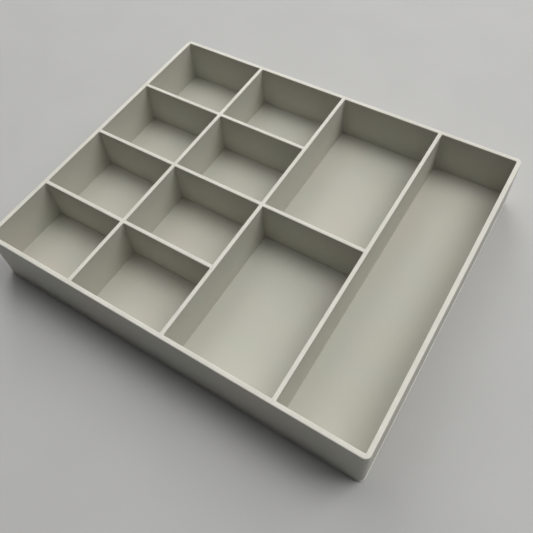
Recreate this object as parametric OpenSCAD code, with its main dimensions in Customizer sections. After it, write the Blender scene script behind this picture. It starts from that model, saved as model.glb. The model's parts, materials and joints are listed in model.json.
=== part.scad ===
// Drawer organizer insert.
// A shallow tray is divided into eleven open compartments by three long dividers, which run from
// front to back, and seven cross dividers. Every divider slides down into upright grooves at its
// two ends and stands in a shallow groove in the floor. Four rubber pads carry the tray.
//
// Frame: X runs left to right, Y from front to back and Z up. The origin is the centre of the
// footprint, on the surface that the pads stand on.

/* [Tray] */
// Width over the walls, left to right
tray_w = 300; // [285:1:340]
// Depth over the walls, front to back
tray_d = 248; // [236:1:300]
// Overall height, pads included
tray_h = 47; // [40:1:70]
// Thickness of the four walls
wall_t = 3.2; // [2.5:0.1:4]
// Thickness of the floor
floor_t = 3; // [2.5:0.1:4]
// Height of the skirt that the walls form below the floor
skirt_h = 6; // [3:0.5:8]
// Radius of the four upright corners, outside
corner_r = 4; // [3.5:0.1:8]
// Radius of the upright corners inside the compartments
fillet_r = 0.8; // [0.6:0.1:3]
// How far the small lip round the foot of the walls stands out
lip_reach = 0.4; // [0.2:0.1:0.8]
// Height of that lip
lip_h = 0.8; // [0.5:0.1:1.5]

/* [Compartments] */
// Clear width of the left column
left_column_w = 73.5; // [50:0.5:80]
// Clear width of the centre left column
centre_left_column_w = 75.5; // [50:0.5:80]
// Clear width of the centre right column, where the right column takes the rest
centre_right_column_w = 79; // [50:0.5:85]
// Clear depth of the front row
front_row_d = 55; // [40:0.5:60]
// Clear depth of the second row
second_row_d = 58.5; // [40:0.5:64]
// Clear depth of the third row, where the back row takes the rest
third_row_d = 58.5; // [40:0.5:64]

/* [Dividers] */
// Thickness of every divider
divider_t = 2.9; // [2.4:0.1:3.2]
// Depth of the grooves in the tray's walls and floor
groove_depth = 1; // [0.6:0.1:1.2]
// Depth of the upright grooves in the long dividers
notch_depth = 0.7; // [0.4:0.1:0.8]
// Clearance beside each divider in its groove
fit_gap = 0.1; // [0.05:0.05:0.2]
// Thickness left at the tip of the fillets beside a groove
tip_t = 0.2; // [0.1:0.1:0.4]

/* [Pads] */
// Diameter of a rubber pad
pad_d = 16; // [10:1:20]
// Height by which the pads stand below the skirt
pad_proud = 1; // [0.5:0.1:2]
// Depth of the round seat for each pad, in the underside of the floor
pad_seat = 0.5; // [0.3:0.1:0.8]
// Chamfer round the foot of each pad
pad_chamfer = 0.6; // [0.3:0.1:1]
// Distance from the tray's outer faces to the centre of a pad
pad_inset = 22; // [15:1:35]

/* [Hidden] */
$fn = 64;
cut = 1;               // how far a cutter runs past the face that it cuts

floor_bottom = pad_proud + skirt_h;
floor_top = floor_bottom + floor_t;
groove_bottom = floor_top - groove_depth;
groove_w = divider_t + 2 * fit_gap;
inner_w = tray_w - 2 * wall_t;
inner_d = tray_d - 2 * wall_t;
left_face = -inner_w / 2;
front_face = -inner_d / 2;
wall_reach = groove_depth - fit_gap;    // how far a divider enters a wall's groove
notch_reach = notch_depth - fit_gap;    // how far it enters a long divider's groove

// Middle planes of the dividers
left_x = left_face + left_column_w + divider_t / 2;
centre_x = left_x + divider_t + centre_left_column_w;
right_x = centre_x + divider_t + centre_right_column_w;
front_y = front_face + front_row_d + divider_t / 2;
middle_y = front_y + divider_t + second_row_d;
back_y = middle_y + divider_t + third_row_d;
long_xs = [left_x, centre_x, right_x];
cross_ys = [front_y, middle_y, back_y];

tray_colour = [0.66, 0.65, 0.60];
divider_colour = [0.70, 0.69, 0.64];
pad_colour = [0.16, 0.16, 0.17];

// ---- Shared shapes -------------------------------------------------------------------------

// A rectangle centred on the origin, with round corners
module rounded_rect(w, d, r) {
    square([w - 2 * r, d], center = true);
    square([w, d - 2 * r], center = true);
    for (x = [-1, 1], y = [-1, 1]) {
        translate([x * (w / 2 - r), y * (d / 2 - r)])
            circle(r);
    }
}

// One concave fillet beside a groove. The face with the groove lies along X, and the divider that
// stands in the groove lies along Y.
module guide_fillet() {
    difference() {
        translate([0, -fit_gap])
            square([tip_t + fillet_r, fillet_r + fit_gap]);
        translate([tip_t + fillet_r, fillet_r])
            circle(fillet_r);
    }
}

// The pair of fillets beside a groove that opens along +Y, from the height foot up to the rim
module guide_fillets(foot) {
    translate([0, 0, foot])
        linear_extrude(tray_h - foot)
            for (side = [0, 1])
                mirror([side, 0])
                    translate([groove_w / 2, 0])
                        guide_fillet();
}

// An upright groove that opens along +Y, from the groove's foot to past the rim
module groove_cutter(depth) {
    translate([-groove_w / 2, -depth, groove_bottom])
        cube([groove_w, depth + cut, tray_h - groove_bottom + cut]);
}

// Stands its children at each groove of the tray's walls, with +Y pointing into the tray
module at_wall_grooves() {
    for (x = long_xs) {
        translate([x, front_face])
            children();
        translate([x, -front_face])
            rotate(180)
                children();
    }
    for (y = cross_ys)
        translate([left_face, y])
            rotate(-90)
                children();
}

// Stands its children at one cross divider's groove in a long divider whose middle plane is x.
// side is -1 on the divider's left face and 1 on its right face.
module at_notch(x, y, side) {
    translate([x + side * divider_t / 2, y])
        rotate(-90 * side)
            children();
}

// ---- Tray ----------------------------------------------------------------------------------

// Shallow grooves in the floor, under every divider
module floor_grooves() {
    depth = groove_depth + cut;
    for (x = long_xs)
        translate([x - groove_w / 2, front_face - groove_depth, groove_bottom])
            cube([groove_w, inner_d + 2 * groove_depth, depth]);
    for (y = cross_ys) {
        reach = (y == middle_y ? right_x : centre_x) - left_face;
        translate([left_face - groove_depth, y - groove_w / 2, groove_bottom])
            cube([reach + groove_depth, groove_w, depth]);
    }
}

// The lip round the foot of the walls
module foot_lip() {
    translate([0, 0, pad_proud])
        linear_extrude(lip_h)
            rounded_rect(tray_w + 2 * lip_reach, tray_d + 2 * lip_reach, corner_r + lip_reach);
}

// Stands its children at the four pads
module at_pads() {
    for (x = [-1, 1], y = [-1, 1])
        translate([x * (tray_w / 2 - pad_inset), y * (tray_d / 2 - pad_inset)])
            children();
}

module tray_shell() {
    color(tray_colour)
    difference() {
        union() {
            difference() {
                translate([0, 0, pad_proud])
                    linear_extrude(tray_h - pad_proud)
                        rounded_rect(tray_w, tray_d, corner_r);
                translate([0, 0, floor_top])
                    linear_extrude(tray_h)
                        rounded_rect(inner_w, inner_d, fillet_r);
            }
            at_wall_grooves()
                guide_fillets(groove_bottom);
            foot_lip();
        }
        at_wall_grooves()
            groove_cutter(groove_depth);
        floor_grooves();
        // the hollow inside the skirt
        translate([0, 0, floor_bottom - tray_h])
            linear_extrude(tray_h)
                rounded_rect(inner_w, inner_d, fillet_r);
        at_pads()
            cylinder(h = floor_bottom + pad_seat, d = pad_d + 2 * fit_gap);
    }
}

// ---- Dividers ------------------------------------------------------------------------------

// A long divider at x. left_ys and right_ys are the cross dividers that meet its two faces.
module long_divider(x, left_ys, right_ys) {
    length = inner_d + 2 * wall_reach;
    color(divider_colour)
    difference() {
        union() {
            translate([x - divider_t / 2, -length / 2, groove_bottom])
                cube([divider_t, length, tray_h - groove_bottom]);
            for (y = left_ys)
                at_notch(x, y, -1)
                    guide_fillets(floor_top);
            for (y = right_ys)
                at_notch(x, y, 1)
                    guide_fillets(floor_top);
        }
        for (y = left_ys)
            at_notch(x, y, -1)
                groove_cutter(notch_depth);
        for (y = right_ys)
            at_notch(x, y, 1)
                groove_cutter(notch_depth);
    }
}

// A cross divider at y, from x_from to x_to
module cross_divider(y, x_from, x_to) {
    color(divider_colour)
        translate([x_from, y - divider_t / 2, groove_bottom])
            cube([x_to - x_from, divider_t, tray_h - groove_bottom]);
}

// Where a cross divider ends in the groove of the long divider at x, on its left or right side
function left_notch(x) = x - divider_t / 2 + notch_reach;
function right_notch(x) = x + divider_t / 2 - notch_reach;

module cross_divider_left(y) {
    cross_divider(y, left_face - wall_reach, left_notch(left_x));
}

module cross_divider_centre_left(y) {
    cross_divider(y, right_notch(left_x), left_notch(centre_x));
}

// ---- Pads ----------------------------------------------------------------------------------

// A round rubber pad in its seat. x and y are -1 or 1, and choose the corner.
module pad(x, y) {
    color(pad_colour)
        translate([x * (tray_w / 2 - pad_inset), y * (tray_d / 2 - pad_inset)]) {
            cylinder(h = pad_chamfer, d1 = pad_d - 2 * pad_chamfer, d2 = pad_d);
            translate([0, 0, pad_chamfer])
                cylinder(h = floor_bottom + pad_seat - pad_chamfer, d = pad_d);
        }
}

// ---- Assembly ------------------------------------------------------------------------------

tray_shell();

long_divider(left_x, cross_ys, cross_ys);  // long_divider_left
long_divider(centre_x, cross_ys, [middle_y]);  // long_divider_centre
long_divider(right_x, [middle_y], []);  // long_divider_right

cross_divider_left(front_y);  // cross_divider_left_front
cross_divider_left(middle_y);  // cross_divider_left_middle
cross_divider_left(back_y);  // cross_divider_left_back
cross_divider_centre_left(front_y);  // cross_divider_centre_left_front
cross_divider_centre_left(middle_y);  // cross_divider_centre_left_middle
cross_divider_centre_left(back_y);  // cross_divider_centre_left_back
cross_divider(middle_y, right_notch(centre_x), left_notch(right_x));  // cross_divider_centre_right

pad(-1, -1);  // pad_front_left
pad(1, -1);  // pad_front_right
pad(-1, 1);  // pad_back_left
pad(1, 1);  // pad_back_right
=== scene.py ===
"""The looks of the drawer organizer insert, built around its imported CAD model.

The tray and its dividers are first shaped as one grid with rounded rims, so that their edges run
on from piece to piece. The grid is then cut into the real pieces along the joints of the CAD
model. Everything is in metres, in the CAD model's frame.
"""
import json
import math

import bmesh
import bpy
from mathutils import Euler, Matrix, Vector
from mathutils.geometry import tessellate_polygon

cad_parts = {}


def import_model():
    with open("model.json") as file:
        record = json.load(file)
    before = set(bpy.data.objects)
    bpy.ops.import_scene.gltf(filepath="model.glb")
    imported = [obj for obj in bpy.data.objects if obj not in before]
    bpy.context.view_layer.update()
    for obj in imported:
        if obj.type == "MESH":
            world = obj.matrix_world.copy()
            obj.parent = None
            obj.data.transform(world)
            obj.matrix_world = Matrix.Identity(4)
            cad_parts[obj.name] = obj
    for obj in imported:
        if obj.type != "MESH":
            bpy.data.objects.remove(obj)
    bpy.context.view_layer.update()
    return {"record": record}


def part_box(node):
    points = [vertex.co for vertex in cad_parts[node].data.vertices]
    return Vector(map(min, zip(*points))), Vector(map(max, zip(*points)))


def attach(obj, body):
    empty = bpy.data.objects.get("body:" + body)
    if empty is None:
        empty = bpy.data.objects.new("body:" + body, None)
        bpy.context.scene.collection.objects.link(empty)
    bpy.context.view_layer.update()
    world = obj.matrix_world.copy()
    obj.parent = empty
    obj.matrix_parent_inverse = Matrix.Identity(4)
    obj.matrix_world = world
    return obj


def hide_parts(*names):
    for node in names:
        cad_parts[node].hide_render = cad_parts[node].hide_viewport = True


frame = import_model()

MM = 0.001

# ---- Sizes ---------------------------------------------------------------------------------

RIM_ROUND = 0.55 * MM       # radius of the rim's edges
LIP_REACH = 0.4 * MM        # how far the lip round the foot of the walls stands out
LIP_H = 0.8 * MM            # height of that lip
LIP_ROUND = 0.15 * MM       # radius of the lip's edges
CORNER_R = 4 * MM           # upright corners of the tray, outside
FILLET_R = 0.8 * MM         # upright corners of the compartments
SEAM = 0.04 * MM            # hairline gap left round each divider
SKIN = 0.01 * MM            # how far a divider's box passes its faces, so that none coincide
OPENING_MARGIN = 0.8 * MM   # how far the record's openings stay clear of the walls
OPENING_LIFT = 0.1 * MM     # how far they stay clear of the floor
PAD_SEAT = 0.5 * MM         # depth of each pad's seat in the floor's underside
PAD_GAP = 0.1 * MM          # clearance round a pad in its seat
PAD_CHAMFER = 0.6 * MM      # bevel round the foot of a pad
PAD_ROUND = 0.2 * MM        # how far the bevel's own edges are softened
CUT = 1 * MM                # how far a cutter runs past a face
CORNER_STEPS = 10           # faces round a quarter of an upright corner
EDGE_STEPS = 4              # faces round a quarter of a rounded edge
PAD_SIDES = 64              # faces round a pad
SMOOTH_ANGLE = 35           # degrees: faces that meet at less are shaded as one surface
FLAT_ANGLE = 0.3            # degrees: neighbours that meet at less become one face
SAME_POINT = 0.002 * MM     # points closer than this become one point

LONG_DIVIDERS = ("long_divider_left", "long_divider_centre", "long_divider_right")
CROSS_DIVIDERS = (
    "cross_divider_left_front",
    "cross_divider_left_middle",
    "cross_divider_left_back",
    "cross_divider_centre_left_front",
    "cross_divider_centre_left_middle",
    "cross_divider_centre_left_back",
    "cross_divider_centre_right",
)
PADS = ("pad_front_left", "pad_front_right", "pad_back_left", "pad_back_right")


def rect_of(low, high):
    """The plan rectangle (x0, x1, y0, y1) of a box."""
    return low[0], high[0], low[1], high[1]


def grown(rect, by):
    """A plan rectangle moved outwards by a distance on all four sides."""
    x0, x1, y0, y1 = rect
    return x0 - by, x1 + by, y0 - by, y1 + by


openings = [opening["box_m"] for opening in frame["record"]["physics"]["openings"]]
compartments = [grown(rect_of(*box), OPENING_MARGIN) for box in openings]
wall_xs = [x for rect in compartments for x in rect[:2]]
wall_ys = [y for rect in compartments for y in rect[2:]]
tray_low, tray_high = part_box("tray_shell")
tray_rect = grown(rect_of(tray_low, tray_high), -LIP_REACH)
rim_z = tray_high.z
floor_z = min(box[0][2] for box in openings) - OPENING_LIFT
seat_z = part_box(PADS[0])[1].z
underside_z = seat_z - PAD_SEAT
wall_t = min(wall_xs) - tray_rect[0]

# ---- Mesh helpers --------------------------------------------------------------------------


def outline(rect, radius, z):
    """Points round a rectangle with round corners, anticlockwise from above."""
    x0, x1, y0, y1 = rect
    corners = (
        (x1 - radius, y1 - radius, 0),
        (x0 + radius, y1 - radius, 90),
        (x0 + radius, y0 + radius, 180),
        (x1 - radius, y0 + radius, 270),
    )
    points = []
    for x, y, start in corners:
        for step in range(CORNER_STEPS + 1):
            angle = math.radians(start + 90 * step / CORNER_STEPS)
            points.append((x + radius * math.cos(angle), y + radius * math.sin(angle), z))
    return points


def circle(centre, radius, z):
    """Points round a circle, anticlockwise from above."""
    turns = [2 * math.pi * i / PAD_SIDES for i in range(PAD_SIDES)]
    return [(centre.x + radius * math.cos(a), centre.y + radius * math.sin(a), z) for a in turns]


def edge_profile(radius):
    """(inset, drop) pairs over a rounded edge, from its upright face to its flat face."""
    turns = [math.radians(90 * step / EDGE_STEPS) for step in range(EDGE_STEPS + 1)]
    return [(radius * (1 - math.cos(a)), radius * (1 - math.sin(a))) for a in turns]


def add_ring(mesh, points):
    """New points in the mesh, which faces will join into a ring."""
    return [mesh.verts.new(p) for p in points]


def join_rings(mesh, rings):
    """Faces between each ring and the next, which all have as many points."""
    for low, high in zip(rings, rings[1:]):
        for i in range(len(low)):
            j = (i + 1) % len(low)
            mesh.faces.new((low[i], low[j], high[j], high[i]))


def fill_between(mesh, outside, holes):
    """A flat face inside one ring, with holes left in it."""
    rings = [outside] + holes
    corners = [v for ring in rings for v in ring]
    for triangle in tessellate_polygon([[v.co for v in ring] for ring in rings]):
        mesh.faces.new([corners[i] for i in triangle])


def new_object(name, data):
    """An object in the scene with this mesh, light or camera."""
    made = bpy.data.objects.new(name, data)
    bpy.context.scene.collection.objects.link(made)
    return made


def object_from(name, mesh):
    """An object from a bmesh, which is used up."""
    bmesh.ops.recalc_face_normals(mesh, faces=mesh.faces)
    data = bpy.data.meshes.new(name)
    mesh.to_mesh(data)
    mesh.free()
    return new_object(name, data)


def box_cutter(boxes):
    """One object made of plain boxes, each (x0, x1, y0, y1, z0, z1)."""
    mesh = bmesh.new()
    for x0, x1, y0, y1, z0, z1 in boxes:
        size = Matrix.Diagonal((x1 - x0, y1 - y0, z1 - z0, 1))
        middle = Matrix.Translation(((x0 + x1) / 2, (y0 + y1) / 2, (z0 + z1) / 2))
        bmesh.ops.create_cube(mesh, size=1, matrix=middle @ size)
    return object_from("cutter", mesh)


def cut(name, solid, boxes, operation):
    """What solid has inside the boxes (INTERSECT) or outside them (DIFFERENCE), as a new object."""
    cutter = box_cutter(boxes)
    modifier = solid.modifiers.new("cut", "BOOLEAN")
    modifier.object = cutter
    modifier.operation = operation
    modifier.solver = "EXACT"
    modifier.use_self = True
    graph = bpy.context.evaluated_depsgraph_get()
    data = bpy.data.meshes.new_from_object(solid.evaluated_get(graph))
    solid.modifiers.remove(modifier)
    bpy.data.objects.remove(cutter)
    data.name = name
    return new_object(name, data)


def shade_edges_smooth(piece):
    """Smooth shading over the rounded edges and corners, with flat faces left flat."""
    piece.data.shade_smooth()
    piece.data.set_sharp_from_angle(angle=math.radians(SMOOTH_ANGLE))
    even = piece.modifiers.new("even_normals", "WEIGHTED_NORMAL")
    even.keep_sharp = True


def tidied(piece):
    """The same piece, without the doubled points and split flat faces that a cut leaves."""
    mesh = bmesh.new()
    mesh.from_mesh(piece.data)
    bmesh.ops.remove_doubles(mesh, verts=mesh.verts, dist=SAME_POINT)
    bmesh.ops.dissolve_limit(mesh, angle_limit=math.radians(FLAT_ANGLE), verts=mesh.verts,
                             edges=mesh.edges)
    bmesh.ops.recalc_face_normals(mesh, faces=mesh.faces)
    mesh.to_mesh(piece.data)
    mesh.free()
    return piece


# ---- The grid that the pieces are cut from --------------------------------------------------


def outer_ring(mesh, outset, z):
    """A ring round the tray, at a distance outside its walls."""
    return add_ring(mesh, outline(grown(tray_rect, outset), CORNER_R + outset, z))


def outer_wall(mesh):
    """The tray's outer skin, from the lip at its foot to the rim. Returns its end rings."""
    foot_z = tray_low.z
    lip_z = foot_z + LIP_H
    lip_edge = edge_profile(LIP_ROUND)
    rings = [outer_ring(mesh, LIP_REACH - inset, foot_z + drop)
             for inset, drop in reversed(lip_edge)]
    rings += [outer_ring(mesh, LIP_REACH - inset, lip_z - drop) for inset, drop in lip_edge]
    rings.append(outer_ring(mesh, 0, lip_z))
    rings += [outer_ring(mesh, -inset, rim_z - drop) for inset, drop in edge_profile(RIM_ROUND)]
    join_rings(mesh, rings)
    return rings[0], rings[-1]


def compartment(mesh, rect):
    """The floor, walls and rounded rim of one compartment. Returns the ring at the rim."""
    rings = [add_ring(mesh, outline(rect, FILLET_R, floor_z))]
    mesh.faces.new(rings[0])
    rings += [add_ring(mesh, outline(grown(rect, inset), FILLET_R + inset, rim_z - drop))
              for inset, drop in edge_profile(RIM_ROUND)]
    join_rings(mesh, rings)
    return rings[-1]


def pad_seat(mesh, name):
    """The round seat of a pad in the tray's underside. Returns the ring at its mouth."""
    low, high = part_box(name)
    centre = (low + high) / 2
    radius = (high.x - low.x) / 2 + PAD_GAP
    mouth = add_ring(mesh, circle(centre, radius, underside_z))
    end = add_ring(mesh, circle(centre, radius, seat_z))
    join_rings(mesh, [mouth, end])
    mesh.faces.new(end)
    return mouth


def skirt_hollow(mesh):
    """The hollow inside the skirt, with the pads' seats. Returns the ring at its mouth."""
    rect = grown(tray_rect, -wall_t)
    rings = [add_ring(mesh, outline(grown(rect, inset), FILLET_R + inset, tray_low.z + drop))
             for inset, drop in reversed(edge_profile(RIM_ROUND))]
    rings.append(add_ring(mesh, outline(rect, FILLET_R, underside_z)))
    join_rings(mesh, rings)
    fill_between(mesh, rings[-1], [pad_seat(mesh, name) for name in PADS])
    return rings[0]


def whole_grid():
    """The tray and its dividers as one solid."""
    mesh = bmesh.new()
    foot, rim = outer_wall(mesh)
    fill_between(mesh, rim, [compartment(mesh, rect) for rect in compartments])
    fill_between(mesh, foot, [skirt_hollow(mesh)])
    return object_from("whole_grid", mesh)


# ---- Pieces --------------------------------------------------------------------------------


def nearest(value, choices):
    """The one of the choices that is closest to a value."""
    return min(choices, key=lambda choice: abs(choice - value))


def cross_boxes(name, gap=0.0):
    """The space of a cross divider. Its faces are its compartments' walls."""
    low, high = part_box(name)
    y0 = nearest(low.y, wall_ys)
    y1 = nearest(high.y, wall_ys)
    side = gap + SKIN
    return [(low.x - gap, high.x + gap, y0 - side, y1 + side, low.z - gap, rim_z + CUT)]


def long_boxes(name, gap=0.0):
    """The space of a long divider: its plate, and the fillets beside each crossing."""
    low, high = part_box(name)
    x0 = nearest(low.x, wall_xs)
    x1 = nearest(high.x, wall_xs)
    side = gap + SKIN
    reach = FILLET_R + side
    boxes = [(x0 - side, x1 + side, low.y - gap, high.y + gap, low.z - gap, rim_z + CUT)]
    for cross in CROSS_DIVIDERS:
        cross_low, cross_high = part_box(cross)
        beside = (cross_low.y - reach, cross_high.y + reach, floor_z, rim_z + CUT)
        if x0 < cross_high.x < x1:
            boxes.append((x0 - reach, x0 + CUT, *beside))
        if x0 < cross_low.x < x1:
            boxes.append((x1 - CUT, x1 + reach, *beside))
    return boxes


def tray(grid):
    """The tray: the grid without its dividers."""
    gaps = [box for name in LONG_DIVIDERS for box in long_boxes(name, SEAM)]
    gaps += [box for name in CROSS_DIVIDERS for box in cross_boxes(name, SEAM)]
    return tidied(cut("tray_shell_piece", grid, gaps, "DIFFERENCE"))


def long_divider(grid, name):
    """One long divider, with a groove for each cross divider that meets it."""
    gaps = [box for cross in CROSS_DIVIDERS for box in cross_boxes(cross, SEAM)]
    plate = cut("plate", grid, long_boxes(name), "INTERSECT")
    made = tidied(cut(name + "_piece", plate, gaps, "DIFFERENCE"))
    bpy.data.objects.remove(plate)
    return made


def cross_divider(grid, name):
    """One cross divider, a plain plate."""
    return tidied(cut(name + "_piece", grid, cross_boxes(name), "INTERSECT"))


def pad(name):
    """A round rubber pad. Its foot is bevelled, and both edges of the bevel are eased."""
    low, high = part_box(name)
    centre = (low + high) / 2
    radius = (high.x - low.x) / 2
    profile = (
        (radius - PAD_CHAMFER - 2 * PAD_ROUND, low.z),
        (radius - PAD_CHAMFER - PAD_ROUND, low.z + 0.05 * PAD_ROUND),
        (radius - PAD_CHAMFER, low.z + 0.3 * PAD_ROUND),
        (radius - 0.3 * PAD_ROUND, low.z + PAD_CHAMFER - PAD_ROUND),
        (radius, low.z + PAD_CHAMFER),
        (radius, high.z),
    )
    mesh = bmesh.new()
    rings = [add_ring(mesh, circle(centre, r, z)) for r, z in profile]
    join_rings(mesh, rings)
    mesh.faces.new(rings[0])
    mesh.faces.new(rings[-1])
    return object_from(name + "_piece", mesh)


def place(piece, node, material, slot):
    """Gives a finished piece its shading, its material, and its place in the frame."""
    shade_edges_smooth(piece)
    piece.data.materials.clear()
    piece.data.materials.append(material)
    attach(piece, "root")
    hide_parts(node)


# ---- Materials -----------------------------------------------------------------------------


class Nodes:
    """A short way to build a material's node tree."""

    def __init__(self, name):
        self.material = bpy.data.materials.new(name)
        self.material.use_nodes = True
        self.tree = self.material.node_tree
        self.tree.nodes.clear()
        self.shader = self.add("ShaderNodeBsdfPrincipled")
        output = self.add("ShaderNodeOutputMaterial")
        self.link(self.shader.outputs["BSDF"], output.inputs["Surface"])
        self.place = self.add("ShaderNodeTexCoord").outputs["Object"]

    def add(self, kind, **settings):
        node = self.tree.nodes.new(kind)
        for key, value in settings.items():
            setattr(node, key, value)
        return node

    def link(self, source, target):
        self.tree.links.new(source, target)

    def noise(self, scale, detail, roughness=0.5):
        """Soft noise from 0 to 1, with about scale features a metre."""
        node = self.add("ShaderNodeTexNoise")
        node.inputs["Scale"].default_value = scale
        node.inputs["Detail"].default_value = detail
        node.inputs["Roughness"].default_value = roughness
        self.link(self.place, node.inputs["Vector"])
        return node.outputs["Fac"]

    def rescale(self, value, from_range, to_range):
        """value taken from one range to another, smoothly, and held at the ends."""
        node = self.add("ShaderNodeMapRange", interpolation_type="SMOOTHSTEP")
        self.link(value, node.inputs["Value"])
        for socket, number in zip(("From Min", "From Max", "To Min", "To Max"),
                                  (*from_range, *to_range)):
            node.inputs[socket].default_value = number
        return node.outputs["Result"]

    def math(self, operation, first, second):
        """One sum. Each side is a number or a socket."""
        node = self.add("ShaderNodeMath", operation=operation)
        for socket, value in zip(node.inputs, (first, second)):
            if isinstance(value, (int, float)):
                socket.default_value = value
            else:
                self.link(value, socket)
        return node.outputs["Value"]

    def mix(self, factor, first, second):
        """A colour between two colours. Each is a tuple or a socket."""
        node = self.add("ShaderNodeMix", data_type="RGBA")
        self.link(factor, node.inputs["Factor"])
        for socket, colour in ((node.inputs[6], first), (node.inputs[7], second)):
            if isinstance(colour, tuple):
                socket.default_value = (*colour, 1)
            else:
                self.link(colour, socket)
        return node.outputs[2]

    def bump(self, height, distance, under=None):
        """A bumped normal. The bumps are distance high, and lie on those of under."""
        node = self.add("ShaderNodeBump")
        node.inputs["Strength"].default_value = 1
        node.inputs["Distance"].default_value = distance
        self.link(height, node.inputs["Height"])
        if under is not None:
            self.link(under, node.inputs["Normal"])
        return node.outputs["Normal"]


# Colours
PLASTIC_WARM = (0.606, 0.586, 0.530)
PLASTIC_GREEN = (0.590, 0.594, 0.538)
PLASTIC_SPECK = (0.440, 0.427, 0.385)
# Painted sheen: the paler colour of the rim top, standing in for the light that falls on it
PLASTIC_RIM_SHEEN = (0.835, 0.822, 0.765)
# Painted highlight: the paler colour of the rounded edges and the top of the lip, standing in for
# the light they catch
PLASTIC_HIGHLIGHT = (0.960, 0.950, 0.905)
RUBBER_DARK = (0.035, 0.035, 0.037)
RUBBER_DUSTY = (0.075, 0.073, 0.070)
# Noise scales, in features a metre
MOTTLING_SCALE = 28
SPECK_SCALE = 900
# patches in the painted sheen and highlight
SHEEN_PATCH_SCALE = 60
GLOSS_SCALE = 45
WAVE_SCALE = 35
GRAIN_SCALE = 2200
DUST_SCALE = 180
RUBBER_GRAIN_SCALE = 1800
# Bump heights
WAVE_HEIGHT = 0.05 * MM
GRAIN_HEIGHT = 0.012 * MM
RUBBER_GRAIN_HEIGHT = 0.03 * MM
# Amounts
MOST_SPECK = 0.1            # how strongly the darkest specks show
LEAST_SHEEN = 0.7            # the painted sheen and highlight on their faintest stretches, as a part of the full
MOST_DUST = 0.8
RIM_AND_EDGE_GLOSS = 0.12           # how much less rough the rim top and the rounded edges are
PLASTIC_ROUGHNESS = (0.46, 0.56)
RUBBER_ROUGHNESS = (0.62, 0.85)


def rounded_edge(nodes):
    """1 along the rounded edges of the rim and the foot, and 0 on flat and upright faces."""
    normal = nodes.add("ShaderNodeSeparateXYZ")
    nodes.link(nodes.add("ShaderNodeNewGeometry").outputs["Normal"], normal.inputs["Vector"])
    rise = nodes.math("POWER", normal.outputs["Z"], 2)
    fall = nodes.math("SUBTRACT", 1, rise)
    both = nodes.math("MULTIPLY", rise, fall)
    return nodes.rescale(both, (0.02, 0.22), (0, 1))


def between_heights(nodes, none_z, full_z):
    """0 at one height and 1 at another."""
    place = nodes.add("ShaderNodeSeparateXYZ")
    nodes.link(nodes.place, place.inputs["Vector"])
    return nodes.rescale(place.outputs["Z"], (none_z, full_z), (0, 1))


def along_rim(nodes):
    """1 on the flat top of the rim, fading out just below it."""
    return between_heights(nodes, rim_z - 2 * RIM_ROUND, rim_z - 0.3 * RIM_ROUND)


def along_lip(nodes):
    """1 on the lip at the foot of the walls, fading out just above it."""
    lip_z = tray_low.z + LIP_H
    return between_heights(nodes, lip_z + LIP_ROUND, lip_z)


def plastic(name):
    """Satin moulded plastic: faint warm and green mottling, fine grain, a painted sheen on the rim
    top and painted highlights on the rounded edges.
    """
    nodes = Nodes(name)
    mottling = nodes.rescale(nodes.noise(MOTTLING_SCALE, 3), (0.35, 0.65), (0, 1))
    specks = nodes.rescale(nodes.noise(SPECK_SCALE, 2), (0.3, 0.7), (0, MOST_SPECK))
    # How strongly the painted sheen and highlight show, varying along the rim and edges
    patchy = nodes.rescale(nodes.noise(SHEEN_PATCH_SCALE, 4, 0.6), (0.3, 0.7), (LEAST_SHEEN, 1))
    # Painted sheen: the rim top is painted paler for the light it catches, patchy along its length
    rim_sheen = nodes.math("MULTIPLY", along_rim(nodes), patchy)
    # Painted highlight: the rounded edges and the top of the lip are painted paler for the light
    # they catch, patchy along their length
    edges = nodes.math("MAXIMUM", rounded_edge(nodes), along_lip(nodes))
    edge_highlight = nodes.math("MULTIPLY", edges, patchy)

    colour = nodes.mix(mottling, PLASTIC_WARM, PLASTIC_GREEN)
    colour = nodes.mix(specks, colour, PLASTIC_SPECK)
    # Paints the sheen onto the rim top
    colour = nodes.mix(rim_sheen, colour, PLASTIC_RIM_SHEEN)
    # Paints the highlight onto the rounded edges and the lip
    colour = nodes.mix(edge_highlight, colour, PLASTIC_HIGHLIGHT)
    nodes.link(colour, nodes.shader.inputs["Base Color"])

    patches = nodes.rescale(nodes.noise(GLOSS_SCALE, 4), (0.3, 0.7), PLASTIC_ROUGHNESS)
    gloss = nodes.math("MULTIPLY", nodes.math("ADD", rim_sheen, edge_highlight), RIM_AND_EDGE_GLOSS)
    nodes.link(nodes.math("SUBTRACT", patches, gloss), nodes.shader.inputs["Roughness"])

    waviness = nodes.bump(nodes.noise(WAVE_SCALE, 1), WAVE_HEIGHT)
    grain = nodes.bump(nodes.noise(GRAIN_SCALE, 2, 0.6), GRAIN_HEIGHT, under=waviness)
    nodes.link(grain, nodes.shader.inputs["Normal"])
    nodes.shader.inputs["IOR"].default_value = 1.5
    nodes.shader.inputs["Specular IOR Level"].default_value = 0.45
    return nodes.material


def rubber(name):
    """Matt black rubber with dust in its grain."""
    nodes = Nodes(name)
    dust = nodes.rescale(nodes.noise(DUST_SCALE, 5, 0.65), (0.45, 0.75), (0, MOST_DUST))
    nodes.link(nodes.mix(dust, RUBBER_DARK, RUBBER_DUSTY), nodes.shader.inputs["Base Color"])
    roughness = nodes.rescale(dust, (0, MOST_DUST), RUBBER_ROUGHNESS)
    nodes.link(roughness, nodes.shader.inputs["Roughness"])
    grain = nodes.bump(nodes.noise(RUBBER_GRAIN_SCALE, 3, 0.6), RUBBER_GRAIN_HEIGHT)
    nodes.link(grain, nodes.shader.inputs["Normal"])
    nodes.shader.inputs["Specular IOR Level"].default_value = 0.35
    return nodes.material


# ---- Stage ---------------------------------------------------------------------------------

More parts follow.
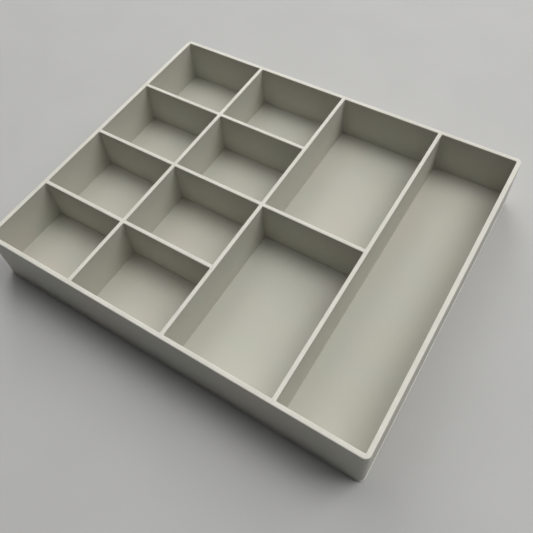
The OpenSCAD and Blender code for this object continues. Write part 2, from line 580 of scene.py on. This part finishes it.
FLOOR_COLOUR = (0.60, 0.602, 0.612)
FLOOR_SIDE = 3.6
FLOOR_SCALE = 14            # features a metre in the floor's faint mottling
FLOOR_DARKER = 0.97         # its darker patches, as a part of the floor's colour
FILL_COLOUR = (0.016, 0.0165, 0.017)
BACKDROP_COLOUR = (0.40, 0.40, 0.395)
SOFTBOX_DISTANCE = 2.6
SOFTBOX_SIDE = 1.6
LIGHT_COLOUR = (1.0, 0.99, 0.945)

CAMERA_TARGET = Vector((0.0118, -0.0203, 0.0320))
CAMERA_DISTANCE = 0.4333
CAMERA_AZIMUTH = 37.80      # degrees from the front, towards the right
CAMERA_ELEVATION = 54.42
CAMERA_ROLL = -6.62
CAMERA_LENS = 40.95         # mm
CAMERA_SENSOR = 36          # mm
CAMERA_SHIFT = (0.0188, -0.0563)


def backdrop():
    """The plain pale floor."""
    mesh = bmesh.new()
    bmesh.ops.create_grid(mesh, x_segments=1, y_segments=1, size=FLOOR_SIDE / 2)
    floor = object_from("floor", mesh)
    nodes = Nodes("floor_paper")
    patches = nodes.rescale(nodes.noise(FLOOR_SCALE, 4), (0.3, 0.7), (0, 1))
    darker = tuple(FLOOR_DARKER * c for c in FLOOR_COLOUR)
    nodes.link(nodes.mix(patches, FLOOR_COLOUR, darker), nodes.shader.inputs["Base Color"])
    nodes.shader.inputs["Roughness"].default_value = 0.9
    nodes.shader.inputs["Specular IOR Level"].default_value = 0.2
    floor.data.materials.append(nodes.material)


def world():
    """A pale backdrop behind the floor, which lights the object only with a weak fill."""
    made = bpy.data.worlds.new("studio")
    made.use_nodes = True
    nodes = made.node_tree.nodes
    seen = nodes.new("ShaderNodeLightPath").outputs["Is Camera Ray"]
    colour = nodes.new("ShaderNodeMix")
    colour.data_type = "RGBA"
    colour.inputs["A"].default_value = (*FILL_COLOUR, 1)
    colour.inputs["B"].default_value = (*BACKDROP_COLOUR, 1)
    made.node_tree.links.new(seen, colour.inputs["Factor"])
    made.node_tree.links.new(colour.outputs["Result"], nodes["Background"].inputs["Color"])
    bpy.context.scene.world = made


def direction(azimuth, elevation):
    """The unit vector to a point seen at an azimuth from the front, and an elevation."""
    a = math.radians(azimuth)
    e = math.radians(elevation)
    return Vector((math.sin(a) * math.cos(e), -math.cos(a) * math.cos(e), math.sin(e)))


def softbox(name, azimuth, elevation, power):
    """A square area light that faces the object. The azimuth runs as the camera's does."""
    data = bpy.data.lights.new(name, "AREA")
    data.shape = "SQUARE"
    data.size = SOFTBOX_SIDE
    data.energy = power
    data.color = LIGHT_COLOUR
    light = new_object(name, data)
    away = direction(azimuth, elevation)
    light.location = away * SOFTBOX_DISTANCE
    light.rotation_euler = away.to_track_quat("Z", "Y").to_euler()


def camera():
    """The camera, on a circle round its target, with a little roll about its own axis."""
    data = bpy.data.cameras.new("camera")
    data.lens = CAMERA_LENS
    data.sensor_width = CAMERA_SENSOR
    data.shift_x, data.shift_y = CAMERA_SHIFT
    data.clip_start = 0.01
    made = new_object("camera", data)
    away = direction(CAMERA_AZIMUTH, CAMERA_ELEVATION)
    roll = Euler((0, 0, math.radians(CAMERA_ROLL))).to_matrix()
    level = Euler((math.radians(90 - CAMERA_ELEVATION), 0, math.radians(CAMERA_AZIMUTH)))
    made.matrix_world = (Matrix.Translation(CAMERA_TARGET + away * CAMERA_DISTANCE)
                         @ (level.to_matrix() @ roll).to_4x4())
    bpy.context.scene.camera = made


# ---- Making --------------------------------------------------------------------------------

tray_plastic = plastic("tray_plastic")
divider_plastic = plastic("divider_plastic")
pad_rubber = rubber("pad_rubber")

grid = whole_grid()
place(tray(grid), "tray_shell", tray_plastic, "tray_plastic")
for node in LONG_DIVIDERS:
    place(long_divider(grid, node), node, divider_plastic, "divider_plastic")
for node in CROSS_DIVIDERS:
    place(cross_divider(grid, node), node, divider_plastic, "divider_plastic")
for node in PADS:
    place(pad(node), node, pad_rubber, "pad_rubber")
bpy.data.objects.remove(grid)

backdrop()
world()
softbox("key", azimuth=130, elevation=48, power=21.6)
softbox("key_high", azimuth=130, elevation=68, power=20.5)
softbox("back_low", azimuth=215, elevation=28, power=24.5)
softbox("back_high", azimuth=240, elevation=68, power=14.5)
camera()
bpy.context.scene.view_settings.view_transform = "Standard"
